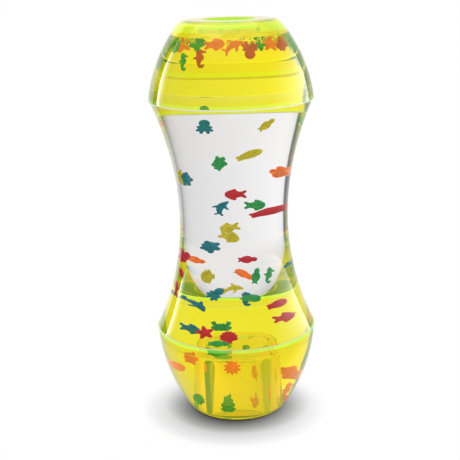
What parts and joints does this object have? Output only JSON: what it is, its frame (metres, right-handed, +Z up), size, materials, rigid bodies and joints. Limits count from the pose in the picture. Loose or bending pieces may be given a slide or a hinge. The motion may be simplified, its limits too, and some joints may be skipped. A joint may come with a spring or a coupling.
{
  "type": "rainstick",
  "caption": "Sealed hourglass tube of clear liquid between two see-through caps; small flat sea creatures drift slowly from end to end when it is turned over.",
  "frame": {"origin": "middle of the face that the tube stands on", "axes": "+Z up the tube's axis, -Y towards the viewer in the picture"},
  "size_m": [0.09, 0.09, 0.221],
  "materials": {
    "clear_plastic": "polished clear styrene or acrylic",
    "tinted_plastic": "polished see-through fluorescent yellow-green, edges glow green",
    "plug_plastic": "same tint as the caps, a little frosted",
    "liquid": "clear colourless liquid",
    "blue_charm": "moulded, softly glossy",
    "green_charm": "moulded, softly glossy",
    "yellow_charm": "moulded, softly glossy",
    "orange_charm": "moulded, softly glossy",
    "red_charm": "moulded, softly glossy"
  },
  "bodies": {
    "vessel": {"clear_body": "clear_plastic", "base_cap": "tinted_plastic", "top_cap": "tinted_plastic", "fill_plug": "plug_plastic", "liquid": "liquid"},
    "green_turtle_1_body": {"green_turtle_1": "green_charm"},
    "orange_starfish_1_body": {"orange_starfish_1": "orange_charm"},
    "green_shell_1_body": {"green_shell_1": "green_charm"},
    "orange_fish_1_body": {"orange_fish_1": "orange_charm"},
    "orange_dolphin_1_body": {"orange_dolphin_1": "orange_charm"},
    "red_octopus_1_body": {"red_octopus_1": "red_charm"},
    "green_octopus_1_body": {"green_octopus_1": "green_charm"},
    "orange_starfish_2_body": {"orange_starfish_2": "orange_charm"},
    "red_shell_1_body": {"red_shell_1": "red_charm"},
    "green_seahorse_1_body": {"green_seahorse_1": "green_charm"},
    "red_seahorse_1_body": {"red_seahorse_1": "red_charm"},
    "green_crab_1_body": {"green_crab_1": "green_charm"},
    "blue_octopus_1_body": {"blue_octopus_1": "blue_charm"},
    "yellow_seal_1_body": {"yellow_seal_1": "yellow_charm"},
    "yellow_minnow_1_body": {"yellow_minnow_1": "yellow_charm"},
    "green_turtle_2_body": {"green_turtle_2": "green_charm"},
    "orange_crab_1_body": {"orange_crab_1": "orange_charm"},
    "blue_turtle_1_body": {"blue_turtle_1": "blue_charm"},
    "yellow_fish_1_body": {"yellow_fish_1": "yellow_charm"},
    "red_fish_1_body": {"red_fish_1": "red_charm"},
    "green_fish_1_body": {"green_fish_1": "green_charm"},
    "blue_dolphin_1_body": {"blue_dolphin_1": "blue_charm"},
    "red_minnow_1_body": {"red_minnow_1": "red_charm"},
    "yellow_fish_2_body": {"yellow_fish_2": "yellow_charm"},
    "yellow_fish_3_body": {"yellow_fish_3": "yellow_charm"},
    "blue_turtle_2_body": {"blue_turtle_2": "blue_charm"},
    "red_seal_1_body": {"red_seal_1": "red_charm"},
    "red_crab_1_body": {"red_crab_1": "red_charm"},
    "green_seahorse_2_body": {"green_seahorse_2": "green_charm"},
    "orange_seal_1_body": {"orange_seal_1": "orange_charm"},
    "green_seal_1_body": {"green_seal_1": "green_charm"},
    "blue_octopus_2_body": {"blue_octopus_2": "blue_charm"},
    "orange_minnow_1_body": {"orange_minnow_1": "orange_charm"},
    "yellow_shell_1_body": {"yellow_shell_1": "yellow_charm"},
    "blue_seahorse_1_body": {"blue_seahorse_1": "blue_charm"},
    "green_minnow_1_body": {"green_minnow_1": "green_charm"},
    "red_minnow_2_body": {"red_minnow_2": "red_charm"},
    "yellow_dolphin_1_body": {"yellow_dolphin_1": "yellow_charm"},
    "red_fish_2_body": {"red_fish_2": "red_charm"},
    "red_fish_3_body": {"red_fish_3": "red_charm"},
    "blue_dolphin_2_body": {"blue_dolphin_2": "blue_charm"},
    "blue_fish_1_body": {"blue_fish_1": "blue_charm"},
    "red_starfish_1_body": {"red_starfish_1": "red_charm"},
    "red_shell_2_body": {"red_shell_2": "red_charm"},
    "green_crab_2_body": {"green_crab_2": "green_charm"},
    "green_seal_2_body": {"green_seal_2": "green_charm"},
    "orange_turtle_1_body": {"orange_turtle_1": "orange_charm"},
    "orange_starfish_3_body": {"orange_starfish_3": "orange_charm"},
    "orange_minnow_2_body": {"orange_minnow_2": "orange_charm"},
    "orange_turtle_2_body": {"orange_turtle_2": "orange_charm"},
    "orange_seahorse_1_body": {"orange_seahorse_1": "orange_charm"},
    "green_shell_2_body": {"green_shell_2": "green_charm"},
    "green_crab_3_body": {"green_crab_3": "green_charm"},
    "orange_crab_2_body": {"orange_crab_2": "orange_charm"},
    "green_turtle_3_body": {"green_turtle_3": "green_charm"}
  },
  "joints": [
    {"name": "green_turtle_1_drift", "type": "slide", "parent": "vessel", "child": "green_turtle_1_body", "axis": [0, 0, 1], "range_m": [-0.029, 0.0015], "deforming": ["liquid"]},
    {"name": "orange_starfish_1_drift", "type": "slide", "parent": "vessel", "child": "orange_starfish_1_body", "axis": [0, 0, 1], "range_m": [-0.028, 0.0035], "deforming": ["liquid"]},
    {"name": "green_shell_1_drift", "type": "slide", "parent": "vessel", "child": "green_shell_1_body", "axis": [0, 0, 1], "range_m": [-0.029, 0.002], "deforming": ["liquid"]},
    {"name": "orange_fish_1_drift", "type": "slide", "parent": "vessel", "child": "orange_fish_1_body", "axis": [0, 0, 1], "range_m": [-0.1645, 0.0015], "deforming": ["liquid"]},
    {"name": "orange_dolphin_1_drift", "type": "slide", "parent": "vessel", "child": "orange_dolphin_1_body", "axis": [0, 0, 1], "range_m": [-0.035, 0.0105], "deforming": ["liquid"]},
    {"name": "red_octopus_1_drift", "type": "slide", "parent": "vessel", "child": "red_octopus_1_body", "axis": [0, 0, 1], "range_m": [-0.063, 0.0065], "deforming": ["liquid"]},
    {"name": "green_octopus_1_drift", "type": "slide", "parent": "vessel", "child": "green_octopus_1_body", "axis": [0, 0, 1], "range_m": [-0.0915, 0.007], "deforming": ["liquid"]},
    {"name": "orange_starfish_2_drift", "type": "slide", "parent": "vessel", "child": "orange_starfish_2_body", "axis": [0, 0, 1], "range_m": [-0.0865, 0.001], "deforming": ["liquid"]},
    {"name": "red_shell_1_drift", "type": "slide", "parent": "vessel", "child": "red_shell_1_body", "axis": [0, 0, 1], "range_m": [-0.062, 0.002], "deforming": ["liquid"]},
    {"name": "green_seahorse_1_drift", "type": "slide", "parent": "vessel", "child": "green_seahorse_1_body", "axis": [0, 0, 1], "range_m": [-0.043, 0.0025], "deforming": ["liquid"]},
    {"name": "red_seahorse_1_drift", "type": "slide", "parent": "vessel", "child": "red_seahorse_1_body", "axis": [0, 0, 1], "range_m": [-0.154, 0.0095], "deforming": ["liquid"]},
    {"name": "green_crab_1_drift", "type": "slide", "parent": "vessel", "child": "green_crab_1_body", "axis": [0, 0, 1], "range_m": [-0.0675, 0.006], "deforming": ["liquid"]},
    {"name": "blue_octopus_1_drift", "type": "slide", "parent": "vessel", "child": "blue_octopus_1_body", "axis": [0, 0, 1], "range_m": [-0.047, 0.0375], "deforming": ["liquid"]},
    {"name": "yellow_seal_1_drift", "type": "slide", "parent": "vessel", "child": "yellow_seal_1_body", "axis": [0, 0, 1], "range_m": [-0.0265, 0.0365], "deforming": ["liquid"]},
    {"name": "yellow_minnow_1_drift", "type": "slide", "parent": "vessel", "child": "yellow_minnow_1_body", "axis": [0, 0, 1], "range_m": [-0.0175, 0.057], "deforming": ["liquid"]},
    {"name": "green_turtle_2_drift", "type": "slide", "parent": "vessel", "child": "green_turtle_2_body", "axis": [0, 0, 1], "range_m": [-0.0035, 0.059], "deforming": ["liquid"]},
    {"name": "orange_crab_1_drift", "type": "slide", "parent": "vessel", "child": "orange_crab_1_body", "axis": [0, 0, 1], "range_m": [-0.0025, 0.0695], "deforming": ["liquid"]},
    {"name": "blue_turtle_1_drift", "type": "slide", "parent": "vessel", "child": "blue_turtle_1_body", "axis": [0, 0, 1], "range_m": [-0.009, 0.029], "deforming": ["liquid"]},
    {"name": "yellow_fish_1_drift", "type": "slide", "parent": "vessel", "child": "yellow_fish_1_body", "axis": [0, 0, 1], "range_m": [-0.0505, 0.028], "deforming": ["liquid"]},
    {"name": "red_fish_1_drift", "type": "slide", "parent": "vessel", "child": "red_fish_1_body", "axis": [0, 0, 1], "range_m": [-0.008, 0.0785], "deforming": ["liquid"]},
    {"name": "green_fish_1_drift", "type": "slide", "parent": "vessel", "child": "green_fish_1_body", "axis": [0, 0, 1], "range_m": [-0.0795, 0.0865], "deforming": ["liquid"]},
    {"name": "blue_dolphin_1_drift", "type": "slide", "parent": "vessel", "child": "blue_dolphin_1_body", "axis": [0, 0, 1], "range_m": [-0.033, 0.035], "deforming": ["liquid"]},
    {"name": "red_minnow_1_drift", "type": "slide", "parent": "vessel", "child": "red_minnow_1_body", "axis": [0, 0, 1], "range_m": [-0.024, 0.0085], "deforming": ["liquid"]},
    {"name": "yellow_fish_2_drift", "type": "slide", "parent": "vessel", "child": "yellow_fish_2_body", "axis": [0, 0, 1], "range_m": [-0.028, 0.0175], "deforming": ["liquid"]},
    {"name": "yellow_fish_3_drift", "type": "slide", "parent": "vessel", "child": "yellow_fish_3_body", "axis": [0, 0, 1], "range_m": [-0.0115, 0.008], "deforming": ["liquid"]},
    {"name": "blue_turtle_2_drift", "type": "slide", "parent": "vessel", "child": "blue_turtle_2_body", "axis": [0, 0, 1], "range_m": [-0.038, 0.115], "deforming": ["liquid"]},
    {"name": "red_seal_1_drift", "type": "slide", "parent": "vessel", "child": "red_seal_1_body", "axis": [0, 0, 1], "range_m": [-0.053, 0.1165], "deforming": ["liquid"]},
    {"name": "red_crab_1_drift", "type": "slide", "parent": "vessel", "child": "red_crab_1_body", "axis": [0, 0, 1], "range_m": [-0.0185, 0.1195], "deforming": ["liquid"]},
    {"name": "green_seahorse_2_drift", "type": "slide", "parent": "vessel", "child": "green_seahorse_2_body", "axis": [0, 0, 1], "range_m": [-0.0755, 0.01], "deforming": ["liquid"]},
    {"name": "orange_seal_1_drift", "type": "slide", "parent": "vessel", "child": "orange_seal_1_body", "axis": [0, 0, 1], "range_m": [-0.0445, 0.124], "deforming": ["liquid"]},
    {"name": "green_seal_1_drift", "type": "slide", "parent": "vessel", "child": "green_seal_1_body", "axis": [0, 0, 1], "range_m": [-0.039, 0.125], "deforming": ["liquid"]},
    {"name": "blue_octopus_2_drift", "type": "slide", "parent": "vessel", "child": "blue_octopus_2_body", "axis": [0, 0, 1], "range_m": [-0.024, 0.047], "deforming": ["liquid"]},
    {"name": "orange_minnow_1_drift", "type": "slide", "parent": "vessel", "child": "orange_minnow_1_body", "axis": [0, 0, 1], "range_m": [-0.033, 0.0575], "deforming": ["liquid"]},
    {"name": "yellow_shell_1_drift", "type": "slide", "parent": "vessel", "child": "yellow_shell_1_body", "axis": [0, 0, 1], "range_m": [-0.0745, 0.003], "deforming": ["liquid"]},
    {"name": "blue_seahorse_1_drift", "type": "slide", "parent": "vessel", "child": "blue_seahorse_1_body", "axis": [0, 0, 1], "range_m": [-0.045, 0.024], "deforming": ["liquid"]},
    {"name": "green_minnow_1_drift", "type": "slide", "parent": "vessel", "child": "green_minnow_1_body", "axis": [0, 0, 1], "range_m": [-0.0255, 0.063], "deforming": ["liquid"]},
    {"name": "red_minnow_2_drift", "type": "slide", "parent": "vessel", "child": "red_minnow_2_body", "axis": [0, 0, 1], "range_m": [-0.024, 0.039], "deforming": ["liquid"]},
    {"name": "yellow_dolphin_1_drift", "type": "slide", "parent": "vessel", "child": "yellow_dolphin_1_body", "axis": [0, 0, 1], "range_m": [-0.032, 0.0115], "deforming": ["liquid"]},
    {"name": "red_fish_2_drift", "type": "slide", "parent": "vessel", "child": "red_fish_2_body", "axis": [0, 0, 1], "range_m": [-0.0545, 0.002], "deforming": ["liquid"]},
    {"name": "red_fish_3_drift", "type": "slide", "parent": "vessel", "child": "red_fish_3_body", "axis": [0, 0, 1], "range_m": [-0.022, 0.0345], "deforming": ["liquid"]},
    {"name": "blue_dolphin_2_drift", "type": "slide", "parent": "vessel", "child": "blue_dolphin_2_body", "axis": [0, 0, 1], "range_m": [-0.036, 0.0175], "deforming": ["liquid"]},
    {"name": "blue_fish_1_drift", "type": "slide", "parent": "vessel", "child": "blue_fish_1_body", "axis": [0, 0, 1], "range_m": [-0.001, 0.0185], "deforming": ["liquid"]},
    {"name": "red_starfish_1_drift", "type": "slide", "parent": "vessel", "child": "red_starfish_1_body", "axis": [0, 0, 1], "range_m": [-0.0035, 0.0415], "deforming": ["liquid"]},
    {"name": "red_shell_2_drift", "type": "slide", "parent": "vessel", "child": "red_shell_2_body", "axis": [0, 0, 1], "range_m": [0, 0.166], "deforming": ["liquid"]},
    {"name": "green_crab_2_drift", "type": "slide", "parent": "vessel", "child": "green_crab_2_body", "axis": [0, 0, 1], "range_m": [-0.0005, 0.028], "deforming": ["liquid"]},
    {"name": "green_seal_2_drift", "type": "slide", "parent": "vessel", "child": "green_seal_2_body", "axis": [0, 0, 1], "range_m": [0, 0.1685], "deforming": ["liquid"]},
    {"name": "orange_turtle_1_drift", "type": "slide", "parent": "vessel", "child": "orange_turtle_1_body", "axis": [0, 0, 1], "range_m": [-0.0095, 0.0155], "deforming": ["liquid"]},
    {"name": "orange_starfish_3_drift", "type": "slide", "parent": "vessel", "child": "orange_starfish_3_body", "axis": [0, 0, 1], "range_m": [-0.008, 0.052], "deforming": ["liquid"]},
    {"name": "orange_minnow_2_drift", "type": "slide", "parent": "vessel", "child": "orange_minnow_2_body", "axis": [0, 0, 1], "range_m": [-0.0185, 0.026], "deforming": ["liquid"]},
    {"name": "orange_turtle_2_drift", "type": "slide", "parent": "vessel", "child": "orange_turtle_2_body", "axis": [0, 0, 1], "range_m": [-0.014, 0.0415], "deforming": ["liquid"]},
    {"name": "orange_seahorse_1_drift", "type": "slide", "parent": "vessel", "child": "orange_seahorse_1_body", "axis": [0, 0, 1], "range_m": [-0.0065, 0.193], "deforming": ["liquid"]},
    {"name": "green_shell_2_drift", "type": "slide", "parent": "vessel", "child": "green_shell_2_body", "axis": [0, 0, 1], "range_m": [-0.006, 0.058], "deforming": ["liquid"]},
    {"name": "green_crab_3_drift", "type": "slide", "parent": "vessel", "child": "green_crab_3_body", "axis": [0, 0, 1], "range_m": [-0.0035, 0.008], "deforming": ["liquid"]},
    {"name": "orange_crab_2_drift", "type": "slide", "parent": "vessel", "child": "orange_crab_2_body", "axis": [0, 0, 1], "range_m": [-0.0015, 0.0915], "deforming": ["liquid"]},
    {"name": "green_turtle_3_drift", "type": "slide", "parent": "vessel", "child": "green_turtle_3_body", "axis": [0, 0, 1], "range_m": [0, 0.038], "deforming": ["liquid"]}
  ]
}
